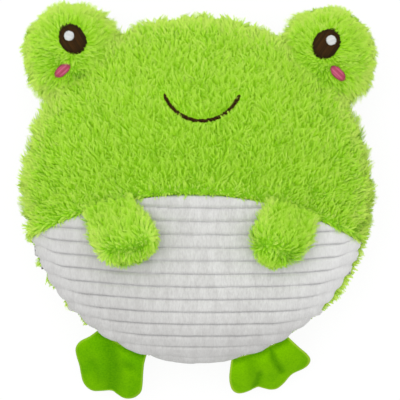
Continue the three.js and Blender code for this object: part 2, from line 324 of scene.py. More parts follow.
def finish(color, roughness, height=None, strength=0.3, distance=0.0005, **plain):
    """Ends a material in a Principled surface; the plain values go on its own sockets"""
    node = put("ShaderNodeBsdfPrincipled", color, None, roughness).socket.node
    for label, value in plain.items():
        node.inputs[label.replace("_", " ").title().replace("Ior", "IOR")].default_value = value
    if height is not None:
        bump = put("ShaderNodeBump").socket.node
        bump.inputs["Strength"].default_value = strength
        bump.inputs["Distance"].default_value = distance
        tree.links.new(height.socket, bump.inputs["Height"])
        tree.links.new(bump.outputs["Normal"], node.inputs["Normal"])
    end("ShaderNodeOutputMaterial", Wire(node.outputs["BSDF"]))


def object_place():
    """The place on the piece, for a pattern that stays with it"""
    return put("ShaderNodeTexCoord", output="Object")


# What matted fibre and short pile share: a fine grain, and broad strokes in which the fibre lies differently
tree = grain_group = bpy.data.node_groups.new("pile grain", "ShaderNodeTree")
for label, kind in (("Place", "Vector"), ("Grain per metre", "Float"), ("Strokes per metre", "Float")):
    tree.interface.new_socket(label, in_out="INPUT", socket_type=f"NodeSocket{kind}")
place, grain, strokes = [Wire(socket) for socket in tree.nodes.new("NodeGroupInput").outputs[:3]]
grain_end = tree.nodes.new("NodeGroupOutput")
for label, value in (("Grain", noise(place, grain, 3.0, 0.65)), ("Strokes", noise(place, strokes, 3.0))):
    tree.interface.new_socket(label, in_out="OUTPUT", socket_type="NodeSocketFloat")
    tree.links.new(value.socket, grain_end.inputs[label])


def grained(place, grain, strokes):
    """The grain and the strokes of a pile, each from 0 to 1, with these many per metre"""
    node = put("ShaderNodeGroup", place, grain, strokes, node_tree=grain_group).socket.node
    return [Wire(socket) for socket in node.outputs]


fibrefill = begin(bpy.data.materials.new("fibrefill"))
fibres, lumps = grained(object_place(), 900.0, 90.0)
finish(blended(lumps, STUFFING_SHADE, STUFFING_WHITE), 1.0, fibres, 0.6, sheen_weight=0.3)

# A smooth form, drawn in by lumps
given = new_tree("stuffing", {"Lump": STUFFING_LUMP, "Lumps per metre": 55.0, "Material": None})
lumps = noise(put("GeometryNodeInputPosition"), given["Lumps per metre"], 3.0)
inward = put("GeometryNodeInputNormal") * (lumps * -1.0) * given["Lump"]
stuffing = end_tree(given, given["Geometry"], None, inward)


def stuffed(name, points, node, body="body"):
    """A filling in a node's place, made from the rows of points over its smooth form"""
    form = mesh_of(f"{name}_form", points, closed=True)
    return fitted(grow(name, form, stuffing, {"Material": fibrefill}), "fibrefill", node, body=body)


def dome(radius, rise, end_tilt, rows, columns):
    """Rows of points over a dome, from its pole to where it tilts so far, as their x, y and height"""
    tilt = np.linspace(0, end_tilt, rows)[:, None]
    turn = np.linspace(0, 2 * pi, columns, endpoint=False)[None, :]
    x = radius * np.sin(tilt) * np.cos(turn)
    y = radius * np.sin(tilt) * np.sin(turn)
    return x, y, rise * np.cos(tilt) * np.ones_like(turn)


def cushion_cap(face, inset, rows, columns, least=0.0):
    """Rows of points over the body's front (face 1) or back (-1), from its pole to the seam, at an inset
    under the tips of its pile and from least above or below the seam"""
    rise = (FRONT_RISE if face > 0 else BACK_DROP) - inset
    x, y, height = dome(BODY_RADIUS - inset, rise, pi / 2, rows, columns)
    z = SEAM_HEIGHT + face * np.maximum(height, least)
    flat = inset + FLATTENING
    pressed = inset + FLATTENING * np.exp(np.minimum(z / flat - 1, 0))
    return np.stack([x, y, np.where(z < flat, pressed, z)], -1)


front_filling, back_filling = (cushion_cap(face, FILLING_INSET, 26, 80) for face in (1, -1))
stuffed("body_stuffing", np.concatenate([front_filling, back_filling[::-1]]), "body_filling")

# Back panel. Lime long-pile fur on a knitted ground, cut round and sewn to the front all along the rim. Its
# pile is combed towards the feet, and lies flat where the toy rests on it.
SKIN_INSET = 0.0042  # from the tips of the pile down to the knitted ground
GROUND_THICKNESS = 0.0008
FUR_ROOT = paint("94d810")
FUR_MIDDLE = paint("b6f428")
FUR_TIP = paint("d2fc58")
FUR_DEEP = paint("98dc12")
FUR_LIGHT = paint("e0ff70")
FUR_SHEEN = paint("dcf884")
GROUND_GREEN = paint("86c814")
LOBE_RADIUS = 0.0325
LOBE_RISE = 0.027
LOBE_MIDDLE = (0.0833, 0.0889, 0.035)
BARE = 0.12  # a pile shorter than this share grows no strands
TUFT_TONE = 0.56  # how much of a strand's tone is its tuft's, and how much the light there adds
# LIGHT_TONE: how far the skin's painted light lifts a strand's tone towards the lighter fur colour
LIGHT_TONE = 0.65
BACK_PILE = {"Strands per square metre": 2.6e6, "Strand width": 0.0004, "Tuft spacing": 0.0014}

# The colour of the fur runs along each strand and differs from strand to strand, by the strands' own map,
# whose tone also carries the painted light of the skin
lime_fur = begin(bpy.data.materials.new("lime fur"))
tone, along, _ = put("ShaderNodeUVMap", uv_map="OFBake").parts()
color = blended(along.ramp(0.0, 0.55), FUR_ROOT, FUR_MIDDLE)
color = blended(along.ramp(0.35, 1.0), color, FUR_TIP)
color = blended(tone.ramp(0.4, 0.0, 0.0, 0.9), color, FUR_DEEP)
color = blended(tone.ramp(0.52, 0.86), color, FUR_LIGHT)
sheen = {"sheen_weight": 0.8, "sheen_roughness": 0.4, "sheen_tint": FUR_SHEEN}
finish(color, 0.8, specular_ior_level=0.12, **sheen)

lime_ground = begin(bpy.data.materials.new("lime ground"))
knit, strokes = grained(object_place(), 1400.0, 120.0)
finish(blended(strokes, GROUND_GREEN, FUR_MIDDLE), 0.95, knit, 0.5)


def number(label):
    """A number stored on the points"""
    return put("GeometryNodeInputNamedAttribute", label, data_type="FLOAT")


def vector(label):
    """A vector stored on the points"""
    return put("GeometryNodeInputNamedAttribute", label, data_type="FLOAT_VECTOR")


def kind_of(value):
    """A value's kind, in the words of the nodes that keep or read it on points"""
    return {"data_type": "FLOAT_VECTOR" if is_vector(value) else "FLOAT", "domain": "POINT"}


def stored(shape, **values):
    """Stores values on the points, under their names"""
    for label, value in values.items():
        shape = put("GeometryNodeStoreNamedAttribute", shape, None, label, value, **kind_of(value))
    return shape


def chance(seed, low, high, step=0):
    """A random number for each point"""
    return put("FunctionNodeRandomValue", low, high, None, seed + step, data_type="FLOAT")


def compared(low, high, operation):
    """Whether one number is under or over another"""
    return put("FunctionNodeCompare", low, high, operation=operation)


def combed(given, shape, normal, step, stray):
    """Stores how the strand at each point rises, sweeps and bends aside, by the nap and the pile there"""
    place, light, seed = put("GeometryNodeInputPosition"), number("light"), given["Seed"]
    drift = put("ShaderNodeTexNoise", place, given["Swirls per metre"], 2.0, output="Color")
    nap = vector("nap") + (drift - (0.5, 0.5, 0.5)) * (given["Swirl"] * (1.0 - light * 0.6))
    angle = chance(seed, -1.0, 1.0, step) * given[stray]
    nap = put("ShaderNodeVectorRotate", nap, None, normal, angle, rotation_type="AXIS_ANGLE")
    clumps = noise(place, given["Clumps per metre"], 1.0).ramp(0.3, 0.7, -1.0, 1.0)
    length = given["Strand length"] * number("pile")
    length = length * (clumps * given["Unevenness"] * (light * 0.6 + 0.5) + 0.95 - light * 0.06)
    length = length * chance(seed, 0.84, 1.14, step + 1)
    lean = given["Lean"] * nap.math("LENGTH").math("MINIMUM", 1.0) * chance(seed, 0.75, 1.2, step + 2)
    heading = (nap - normal * nap.math("DOT_PRODUCT", normal)).math("NORMALIZE")
    rise = normal * lean.math("COSINE") * length
    sweep = heading * lean.math("SINE") * length
    bend = normal.math("CROSS_PRODUCT", sweep) * (chance(seed, -1.0, 1.0, step + 3) * given["Curl"])
    return stored(shape, rise=rise, sweep=sweep, bend=bend, heading=heading)


# Fur grows on a skin that carries its nap and the length of its pile: strands, drawn together into tufts
given = new_tree(
    "fur",
    {
        "Strands per square metre": 4.6e6,
        "Tuft spacing": 0.001,
        "Tuft pull": 0.78,
        "Tuft stray": radians(42),
        "Strand stray": radians(16),
        "Strand length": 0.0066,
        "Strand width": 0.00028,
        "Curl": 0.5,
        "Roundness": 0.8,
        "Lean": radians(54),
        "Swirl": 1.5,
        "Swirls per metre": 90.0,
        "Clumps per metre": 170.0,
        "Unevenness": 0.38,
        "Part from": -1.0,
        "Part to": 1.0,
        "Lowest": SEWN_GAP,
        "Seed": 1,
        "Material": None,
    },
)
skin, seed, light = given["Geometry"], given["Seed"], number("light")
spread = "GeometryNodeDistributePointsOnFaces"
tufts = put(spread, skin, None, given["Tuft spacing"], 1.2e6, 1.0, seed, distribute_method="POISSON")
tufts = combed(given, tufts, Wire(tufts.socket.node.outputs["Normal"]), 10, "Tuft stray")
tufts = stored(tufts, tone=chance(seed, 0.0, 1.0, 20))
strands = put(spread, skin, None, given["Strands per square metre"], seed + 1.0)
normal = Wire(strands.socket.node.outputs["Normal"])
strands = combed(given, strands, normal, 30, "Strand stray")
place = put("GeometryNodeInputPosition")
outside = compared(number("pile"), BARE, "LESS_THAN")
for limit, operation in (("Part from", "LESS_THAN"), ("Part to", "GREATER_EQUAL")):
    beyond = compared(place.parts()[0], given[limit], operation)
    outside = put("FunctionNodeBooleanMath", outside, beyond, operation="OR")
strands = put("GeometryNodeDeleteGeometry", strands, outside, domain="POINT")
nearest = put("GeometryNodeSampleNearest", tufts, place, domain="POINT")


def of_tuft(value):
    """A value at the nearest tuft"""
    return put("GeometryNodeSampleIndex", tufts, value, nearest, **kind_of(value))


rise, sweep, bend, heading = map(vector, ("rise", "sweep", "bend", "heading"))
twist = chance(seed, radians(-50), radians(50), 40)
side = heading.math("CROSS_PRODUCT", normal)
side = put("ShaderNodeVectorRotate", side, None, heading, twist, rotation_type="AXIS_ANGLE")
tone = of_tuft(number("tone")) * TUFT_TONE + chance(seed, 0.04, 0.13, 50)
# Painted light: the skin's light lifts the strand's tone towards the lighter fur colour
tone = (tone + light * LIGHT_TONE).math("MINIMUM", 1.0)
moves = {"place": place, "rise": rise, "sweep": sweep, "bend": bend}
pulls = {f"to_{label}": of_tuft(value) - value for label, value in moves.items()}
x, y, z = normal.parts()
out = put("ShaderNodeCombineXYZ", x, y, z.math("ABSOLUTE") + light * 1.1 + 0.5).math("NORMALIZE")
strands = stored(strands, root=place, side=side, out=out, tone=tone, **pulls)
blade = put("GeometryNodeMeshGrid", 1.0, 1.0, 2, 3)
blade = stored(blade, blade=place + (0.0, 0.5, 0.0))
shape = put("GeometryNodeRealizeInstances", put("GeometryNodeInstanceOnPoints", strands, None, blade))
across, along, _ = vector("blade").parts()
height = along - along * along * 0.22
reach = along * 0.45 + along * along * 0.55
path = vector("root") + rise * height + sweep * reach + bend * (along * along)
pull = vector("to_place") + vector("to_rise") * height + vector("to_sweep") * reach
pull = (pull + vector("to_bend") * (along * along)) * (along**1.3 * given["Tuft pull"])
width = given["Strand width"] * (1.0 - along * along * 0.85)
x, y, z = (path + pull + vector("side") * (across * width)).parts()
path = put("ShaderNodeCombineXYZ", x, y, z.math("MAXIMUM", given["Lowest"]))
shape = put("GeometryNodeSetPosition", shape, None, path)
spot = put("ShaderNodeCombineXYZ", number("tone") * 0.94 + across * 0.003 + 0.03, along * 0.96 + 0.02)
bake_map = {"data_type": "FLOAT2", "domain": "CORNER"}
shape = put("GeometryNodeStoreNamedAttribute", shape, None, "OFBake", spot, **bake_map)
shape = put("GeometryNodeSetShadeSmooth", shape)
out, side = vector("out"), vector("side")
run = rise * (1.0 - along * 0.44) + sweep * (along * 1.1 + 0.45)
flat = side.math("CROSS_PRODUCT", run).math("NORMALIZE")
level = out * (1.0, 1.0, 0.0)
outward = level * flat.math("DOT_PRODUCT", level).math("SIGN")
outward = outward + (out - level) * flat.parts()[2].math("SIGN")
facing = flat * (0.4 - light * 0.25) + outward * 0.6 + side * (across * given["Roundness"])
shape = put("GeometryNodeSetMeshNormal", shape, facing.math("NORMALIZE"), mode="FREE")
fur = end_tree(given, shape)
FUR_VALUES = ("nap", "pile", "light", "rise", "sweep", "bend", "heading", "root", "side", "tone")
FUR_VALUES += ("blade", "out", *pulls)


def write(piece, **values):
    """Writes values on a mesh's points, under their names"""
    for label, given in values.items():
        kind, field = ("FLOAT_VECTOR", "vector") if given.ndim > 1 else ("FLOAT", "value")
        attribute = piece.data.attributes.new(label, kind, "POINT")
        attribute.data.foreach_set(field, np.ascontiguousarray(given, np.float32).ravel())


def furred(name, skin, parts, body="body", **inputs):
    """The fur of a skin, in parts between places across the toy. The skin carries the nap, which is the way
    that the pile lies, the pile's length as a share, and the painted light that lightens its strands."""
    for count, (low, high) in enumerate(zip(parts, parts[1:]), 1):
        values = {"Part from": low, "Part to": high, "Material": lime_fur, **inputs}
        piece = grow(f"{name}_{count}", skin, fur, values, FUR_VALUES, keep_source=True)
        fitted(piece, "lime_fur", body=body)


def backed(skin, node, body="body", slot="lime_fur", material=lime_ground, wall=GROUND_THICKNESS, fill=0.7):
    """Finishes a skin as a panel whose wall goes inwards, such as the knitted ground under a pile"""
    if material:
        skin.data.materials.append(material)
    thickness = skin.modifiers.new("thickness", "SOLIDIFY")
    thickness.thickness = wall
    thickness.offset = -1
    fitted(skin, slot, node, body=body)


def off_lobes(place):
    """The pile's length by the eye lobes: none inside them, and fuller in the corner beside them"""
    x, y, z = (np.where([True, False, False], np.abs(place), place) - LOBE_MIDDLE).T
    radius, rise = LOBE_RADIUS - SKIN_INSET, LOBE_RISE - SKIN_INSET
    share = np.sqrt((x * x + y * y) / radius**2 + z * z / rise**2)
    return smooth(0.94, 1.04, share) * (1 + 0.4 * smooth(1.4, 1.1, share))


def over_rim(skin):
    """A skin's points, how far out each lies as a share of the body's radius, and the way outwards there"""
    place = places(skin)
    far = np.hypot(place[:, 0], place[:, 1])
    return place, far / BODY_RADIUS, place * (1, 1, 0) / np.maximum(far, 1e-6)[:, None]


back_skin = mesh_of("back_ground", cushion_cap(-1, SKIN_INSET, 60, 170, SEWN_GAP / 2), closed=True)
place, outness, towards = over_rim(back_skin)
turn = np.degrees(np.arctan2(place[:, 0], -place[:, 1]))  # from the feet, towards the frog's left
by_rim = smooth(0.86, 0.95, outness)
band = smooth(40, 55, turn) * smooth(110, 90, turn)
clumps = smooth(0.1, 0.5, np.sin(turn * 0.75) + 0.6 * np.sin(turn * 1.9))
clumps *= smooth(-32, -45, turn) * smooth(-110, -90, turn)
rim_pile = np.where(np.abs(turn) < 95, 0.25 + np.maximum(1.05 * band, 0.85 * clumps), 0.6)
upwards = np.stack([0 * turn, 0 * turn, 0.5 - 0.25 * band], -1)
nap = np.array([0, -0.8, 0]) * (1 - by_rim)[:, None] + (0.3 * towards + upwards) * by_rim[:, None]
# The light written here is painted light along the rim
write(back_skin, nap=nap, pile=off_lobes(place) * (1 + (rim_pile - 1) * by_rim), light=by_rim)
furred("back_fur_right", back_skin, (-1.0, -0.045, 0.0), Seed=5, **BACK_PILE)
furred("back_fur_left", back_skin, (0.0, 0.045, 1.0), Seed=6, **BACK_PILE, Unevenness=0.06)
backed(back_skin, "back_panel")

# Face panel. The same fur, from the top of the head down to an arch, combed up and outwards. The pile is
# pressed under the embroidered smile.
ARCH_TOP = 0.0025  # from the body's middle down to the top of the belly's arch
ARCH_RADIUS = 0.21
SMILE_ASIDE = 0.002
SMILE_UP = 0.0704
SMILE_RADIUS = 0.0255
SMILE_HALF_ANGLE = radians(71)
SMILE_TURN = radians(1)
FACE_PILE = {"Swirl": 1.9, "Tuft stray": radians(58), "Unevenness": 0.48}
FACE_PILE |= {"Tuft spacing": 0.0011, "Tuft pull": 0.83}


def arch_at(x):
    """How far up the belly's arch runs"""
    return np.sqrt(ARCH_RADIUS**2 - x * x) - ARCH_TOP - ARCH_RADIUS


def face_rows(inset, rows, columns):
    """Rows of points over the face, from the arch to the seam along the rim, by columns from side to side"""
    radius = BODY_RADIUS - inset
    x = radius * np.sin(np.linspace(-pi / 2, pi / 2, columns))[None, :]
    chord = np.maximum(np.sqrt(np.maximum(radius**2 - x * x, 0)), 1e-9)
    start = np.arcsin(np.clip((arch_at(x) + SEWN_GAP / 2) / chord, -1, 1))
    angle = start + (pi / 2 - start) * np.linspace(0, 1, rows)[:, None]
    y = chord * np.sin(angle)
    z = np.maximum((FRONT_RISE - inset) * chord / radius * np.cos(angle), SEWN_GAP / 2)
    return np.stack([x + 0 * y, y, SEAM_HEIGHT + z], -1)


def off_smile(place):
    """The pile's length near the smile, shorter below it, from where it is combed over the thread"""
    x, y = place[:, 0] - SMILE_ASIDE, place[:, 1] - SMILE_UP
    far = np.hypot(x, y)
    angle = np.clip(np.arctan2(x, -y) - SMILE_TURN, -SMILE_HALF_ANGLE, SMILE_HALF_ANGLE) + SMILE_TURN
    beside = np.hypot(x - SMILE_RADIUS * np.sin(angle), y + SMILE_RADIUS * np.cos(angle))
    above = smooth(0.0006, 0.002, beside)
    below = smooth(0.0006, 0.0062, beside)
    return np.where(far < SMILE_RADIUS, above, below)


face_skin = mesh_of("face_ground", face_rows(SKIN_INSET, 100, 170))
place, outness, towards = over_rim(face_skin)
above_arch = place[:, 1] - arch_at(place[:, 0])
over_belly = smooth(0.005, 0.0002, above_arch)
by_rim = smooth(0.75, 0.95, outness)
nap = np.array([0, 0.75, 0]) * (1 - 0.7 * by_rim)[:, None] + towards * (0.4 * outness)[:, None]
nap = nap * (1 - over_belly)[:, None] - np.array([0, 0.7, 0]) * over_belly[:, None]
pile = off_lobes(place) * off_smile(place) * (1 - 0.1 * over_belly + 0.1 * smooth(0.88, 1, outness))
# Painted light towards the rim and just above the arch
lit_rim = 0.15 * smooth(0.2, 0.8, outness) + 0.75 * smooth(0.84, 0.97, outness)
write(face_skin, nap=nap, pile=pile, light=np.maximum(lit_rim, 0.3 * smooth(0.012, 0.003, above_arch)))
furred("face_fur", face_skin, (-1.0, -0.036, 0.036, 1.0), Seed=11, **FACE_PILE)
backed(face_skin, "face_panel")

# Smile. One narrow line of satin stitches in dark brown thread, worked through the fur before the panels
# are joined, so that it lies pressed into the pile.
THREAD_WIDTH = 0.0005
THREAD_STEP = 0.00042
STITCH_INSET = 0.0034  # from the tips of the pile down to the middle of the threads
SMILE_HALF_WIDTH = 0.00115
SMILE_SLANT = radians(28)
BROWN_DARK = paint("1a1200")
BROWN_LIGHT = paint("4c2f0a")


def seen(label):
    """A number stored on the points, for a material"""
    return put("ShaderNodeAttribute", attribute_name=label, output="Fac")


def thread_material(name, dark, light):
    """Shiny rayon thread: fine plies along it, and threads that differ a little, with painted shade where the
    tone they carry is lowered
    """
    material = begin(bpy.data.materials.new(name))
    tone, plies = seen("tone"), noise(object_place(), 5200.0, 2.0, 0.6)
    finish(blended(tone * 0.7 + plies * 0.3, dark, light), 0.6, plies, 0.5, 0.0001, specular_ior_level=0.12)
    return material


def new_stitches(name, **sizes):
    """Begins a tree of threads laid over a dome, with these sizes as its inputs"""
    inputs = {label.replace("_", " ").capitalize(): value for label, value in sizes.items()}
    inputs |= {"Thread step": THREAD_STEP, "Thread width": THREAD_WIDTH, "Inset": STITCH_INSET}
    return new_tree(name, inputs | {"Material": None})


def threads(given, count, **values):
    """So many threads, 2 long, that carry these values, and the places across, along and up in each"""
    points = put("GeometryNodeMeshLine", count, (0.0, 0.0, 0.0), (0.0, 0.0, 0.0), mode="OFFSET")
    line = put("GeometryNodeCurvePrimitiveLine", (0.0, -1.0, 0.0), (0.0, 1.0, 0.0))
    line = put("GeometryNodeResampleCurve", line, None, 12)
    ring = put("GeometryNodeCurvePrimitiveCircle", 6, given["Thread width"] * 0.5)
    tube = put("GeometryNodeCurveToMesh", line, ring, 1.0, True)
    tube = stored(tube, fibre=put("GeometryNodeInputPosition"))
    shape = put("GeometryNodeInstanceOnPoints", stored(points, **values), None, tube)
    return put("GeometryNodeRealizeInstances", shape), *vector("fibre").parts()


def dome_top(given, x, y):
    """How high the dome stands over a place, at the threads' inset"""
    middle_x, middle_y, middle_z = given["Dome middle"].parts()
    radius, rise = given["Dome radius"] - given["Inset"], given["Dome rise"] - given["Inset"]
    off_x, off_y = x - middle_x, y - middle_y
    share = (off_x * off_x + off_y * off_y) / (radius * radius)
    return (1.0 - share).math("MAXIMUM", 0.0).math("SQRT") * rise + middle_z


def embroidered(name, source_tree, inputs, used, slot):
    """Threads from a tree, as a piece in the place of the node of that name"""
    start = link_up("start", bpy.data.meshes.new("start"))
    fitted(grow(f"{name}_threads", start, source_tree, inputs, used), slot, name)


# Satin stitches laid across a line that bends downwards over a dome
given = new_stitches(
    "stitched line",
    bend=SMILE_RADIUS,
    half_angle=SMILE_HALF_ANGLE,
    bend_middle=(SMILE_ASIDE, SMILE_UP, 0.0),
    turn=SMILE_TURN,
    half_width=SMILE_HALF_WIDTH,
    slant=SMILE_SLANT,
    dome_middle=(0.0, 0.0, SEAM_HEIGHT),
    dome_radius=BODY_RADIUS,
    dome_rise=FRONT_RISE,
)
bend, half_angle = given["Bend"], given["Half angle"]
count = bend * half_angle * 2.0 / given["Thread step"]
at = ((put("GeometryNodeInputIndex") + chance(3, -0.25, 0.25)) / count * 2.0 - 1.0) * half_angle
values = {"at": at, "tone": chance(4, 0.0, 1.0), "reach": chance(5, 0.65, 1.3)}
shape, wide, along, high = threads(given, count, **values)
at = number("at")
ends = (at / half_angle).math("ABSOLUTE").ramp(1.0, 0.93)
out = along * number("reach") * given["Half width"] * (ends * 0.5 + 0.5)
turn = at + given["Turn"] + wide / bend + out * given["Slant"].math("TANGENT") / bend
middle_x, middle_y, _ = given["Bend middle"].parts()
x = middle_x + turn.math("SINE") * (bend + out)
y = middle_y - turn.math("COSINE") * (bend + out)
z = dome_top(given, x, y) + high + (0.35 - along * along) * given["Thread width"]
stitched_line = end_tree(given, shape, put("ShaderNodeCombineXYZ", x, y, z))

brown_thread = thread_material("brown thread", BROWN_DARK, BROWN_LIGHT)
embroidered("smile", stitched_line, {"Material": brown_thread}, ("fibre", "at", "reach"), "brown_thread")

# Belly panel. White plush with wide wales, woven as flat ribs between narrow grooves. It is eased into the
# seam, so the wales bend up a little towards both sides and the rim is scalloped where they end.
BELLY_RADIUS = 0.1108
BELLY_RISE = 0.0428
WALE_PITCH = 0.0086
GROOVE_DEPTH = 0.0017
GROOVE_HALF_WIDTH = 0.00055
WALE_CROWN = 0.0003
WALE_LIFT = 0.0033  # how far the wales have risen, this far from the middle line
WALE_LIFT_AT = 0.088
SIDE_LIFT = 0.004
SEAM_ROLL = 0.0006
BELLY_THICKNESS = 0.0012
PLUSH_WHITE = paint("e3e3e1")
PLUSH_SHADE = paint("cac9c7")
# Painted light, towards both sides
PLUSH_PAINTED_LIGHT = paint("ffffff")
# Painted shade, right of the middle and low down by the feet
PLUSH_PAINTED_SHADE = paint("b4b2b1")
# Painted shade, down in the grooves
PLUSH_GROOVE_SHADE = paint("a3a3a6")


def wale_places():
    """Where the grooves between the wales cross the middle line, at equal steps along the dome"""
    angle = np.linspace(-asin(ARCH_TOP / BODY_RADIUS), -pi / 2, 4000)
    y, z = BODY_RADIUS * np.sin(angle), FRONT_RISE * np.cos(angle)
    along = np.concatenate([[0], np.cumsum(np.hypot(np.diff(y), np.diff(z)))])
    return y, along / WALE_PITCH


def belly_rows(rows, columns):
    """Rows of points over the belly, from the seam along its rim to the arch, by columns from side to side"""
    middle = ARCH_TOP + ARCH_RADIUS
    end_up = (ARCH_RADIUS**2 - BELLY_RADIUS**2 - middle**2) / (2 * middle)
    end = sqrt(BELLY_RADIUS**2 - end_up**2)
    x = end * np.sin(np.linspace(-pi / 2, pi / 2, columns))[None, :]
    chord = np.sqrt(BELLY_RADIUS**2 - x * x)
    stop = np.arcsin(np.clip((arch_at(x) - SEWN_GAP / 2) / chord, -1, 1))
    angle = -pi / 2 + (stop + pi / 2) * np.linspace(0, 1, rows)[:, None]
    z = np.maximum(BELLY_RISE * chord / BELLY_RADIUS * np.cos(angle), SEWN_GAP / 2)
    return np.stack([x + 0 * angle, chord * np.sin(angle), SEAM_HEIGHT + z], -1)


# Wales on a panel that carries how many wales down each point lies, and how deep its grooves are
sizes = {"Groove depth": GROOVE_DEPTH, "Groove half width": GROOVE_HALF_WIDTH, "Crown": WALE_CROWN}
given = new_tree("wales", sizes | {"Pitch": WALE_PITCH, "Seam roll": SEAM_ROLL, "Material": None})
place, rim = put("GeometryNodeInputPosition"), number("rim")
wander = noise(place * (1.0, 0.15, 0.15), 38.0, 2.0) * 0.16
wander = wander + noise(place * (1.0, 0.3, 0.3), 420.0, 2.0) * 0.045
wale = number("wale") + wander - 0.1
off_middle = (wale.math("FRACT") - 0.5).math("ABSOLUTE")
groove = ((0.5 - off_middle) * given["Pitch"] / given["Groove half width"]) ** 2.0
groove = (groove * -0.5).math("EXPONENT") * number("depth")
crown = (1.0 - (off_middle * 2.0) ** 2.0) * given["Crown"] * (rim * 3.5 + 1.0)
fullness = (noise(place, 70.0) - 0.5) * (rim * 0.0025 + 0.0007)
lift = crown + fullness - groove * given["Groove depth"] - number("edge") * given["Seam roll"]
shape = stored(given["Geometry"], groove=groove * noise(place, 90.0).ramp(0.3, 0.55, 0.75, 1.0))
wales = end_tree(given, shape, None, put("GeometryNodeInputNormal") * lift)

# Short white plush: upright fibre in fine lines up the panel, with painted shade down in the grooves,
# painted light towards both sides, and painted shade right of the middle and by the feet
ribbed_plush = begin(bpy.data.materials.new("white ribbed plush"))
place = object_place()
lines, naps = grained(place * (1.0, 0.3, 0.3), 1050.0, 200.0)
color = blended(lines.ramp(0.3, 0.7) * 0.6 + naps.ramp(0.35, 0.65) * 0.4, PLUSH_SHADE, PLUSH_WHITE)
side, up, _ = place.parts()
# Painted light towards both sides of the belly
painted_light = side.ramp(0.035, 0.1, 0.0, 0.42) + side.ramp(-0.06, -0.1, 0.0, 0.2)
# Painted shade right of the middle and low down by the feet
painted_shade = side.ramp(0.02, -0.05, 0.0, 0.26).math("MAXIMUM", up.ramp(-0.07, -0.1, 0.0, 0.3))
color = blended(painted_light, color, PLUSH_PAINTED_LIGHT)
color = blended(painted_shade, color, PLUSH_PAINTED_SHADE)
# Painted shade down in the grooves, where the wales are cut in
color = blended(seen("groove").ramp(0.35, 1.0, 0.0, 0.5), color, PLUSH_GROOVE_SHADE)
finish(color, 0.95, lines, 0.55, 0.0004, sheen_weight=0.2, specular_ior_level=0.2)

belly_form = mesh_of("belly_form", belly_rows(190, 130))
across, up, _ = places(belly_form).T
rim_gap = BELLY_RADIUS - np.hypot(across, up)
risen = WALE_LIFT * (across / WALE_LIFT_AT) ** 2
risen = risen + SIDE_LIFT * smooth(0.012, 0, rim_gap) * (np.abs(across) / BELLY_RADIUS)
groove_up, groove_number = wale_places()
wale = np.interp(-(up - risen), -groove_up, groove_number)
belly_values = {
    "wale": wale,
    "depth": (smooth(12.9, 12.2, wale) * 0.8 + 0.2) * (0.15 + 0.85 * smooth(0.001, 0.013, rim_gap)),
    "edge": smooth(0.0045, 0, arch_at(across) - up) ** 2,
    "rim": smooth(0.006, 0, rim_gap),
}
write(belly_form, **belly_values)
belly = grow("belly_ribbed", belly_form, wales, {"Material": ribbed_plush}, tuple(belly_values))
plush_wall = {"material": None, "wall": BELLY_THICKNESS, "fill": 0.8}
backed(belly, "belly_panel", slot="white_ribbed_plush", **plush_wall)

# Eye lobes. Each is a front and a back piece of the same fur, stuffed round and sewn on the upper rim. Its
# pile runs outwards from the embroidered eye.
EYE = {"left": (-0.0012, 0.0075), "right": (-0.0013, 0.0081), "half": (0.0083, 0.0101), "lean": radians(33)}
GLINT = {"left": (0.0018, 0.0096), "right": (0.0008, 0.0098), "half": (0.0032, 0.0032), "lean": radians(70)}
CHEEK = {"left": (0.0063, -0.0115), "right": (0.0046, -0.0123), "half": (0.0032, 0.006), "lean": radians(-48)}
GLINT_INSET = 0.0022
WHITE_DARK = paint("cfd3d2")
WHITE_LIGHT = paint("e6e8e6")
PINK_DARK = paint("a83048")
PINK_LIGHT = paint("e2789c")
LOBE_PILE = {"Unevenness": 0.42, "Swirl": 1.8, "Tuft stray": radians(55), "Tuft pull": 0.62}


def share_of_body(place, gap=0):
    """How far out in the body places lie: 1 on the ground of its panels, or on a skin so far above it"""
    x, y, z = np.moveaxis(place - np.array([0, 0, SEAM_HEIGHT]), -1, 0)
    rise = np.where(z > 0, FRONT_RISE, BACK_DROP) - SKIN_INSET + gap
    return np.sqrt((x**2 + y**2) / (BODY_RADIUS - SKIN_INSET + gap) ** 2 + (z / rise) ** 2)


def lobe_cap(side, inset, face, rows, columns):
    """Rows of points over a lobe's front (face 1) or back (-1); those inside the body come out to its skin"""
    rise = LOBE_RISE - inset
    seam = face * (SEAM_HEIGHT - LOBE_MIDDLE[2]) + SEWN_GAP / 2
    x, y, height = dome(LOBE_RADIUS - inset, rise, np.arccos(seam / rise), rows, columns)
    points = np.array([side * LOBE_MIDDLE[0], *LOBE_MIDDLE[1:]]) + np.stack([x, y, face * height], -1)
    body_middle = np.array([0, 0, SEAM_HEIGHT])
    share = np.minimum(share_of_body(points, SEWN_GAP), 1)
    return body_middle + (points - body_middle) / share[..., None]


def off_oval(place, middle, oval, name, side, clear):
    """0 over an embroidered oval, 1 from clear times its size on"""
    lean = -side * oval["lean"]
    x = place[:, 0] - middle[0] - side * oval[name][0]
    y = place[:, 1] - middle[1] - oval[name][1]
    along, across = x * sin(-lean) + y * cos(lean), x * cos(lean) + y * sin(lean)
    return smooth(0.97, clear, np.hypot(across / oval["half"][0], along / oval["half"][1]))


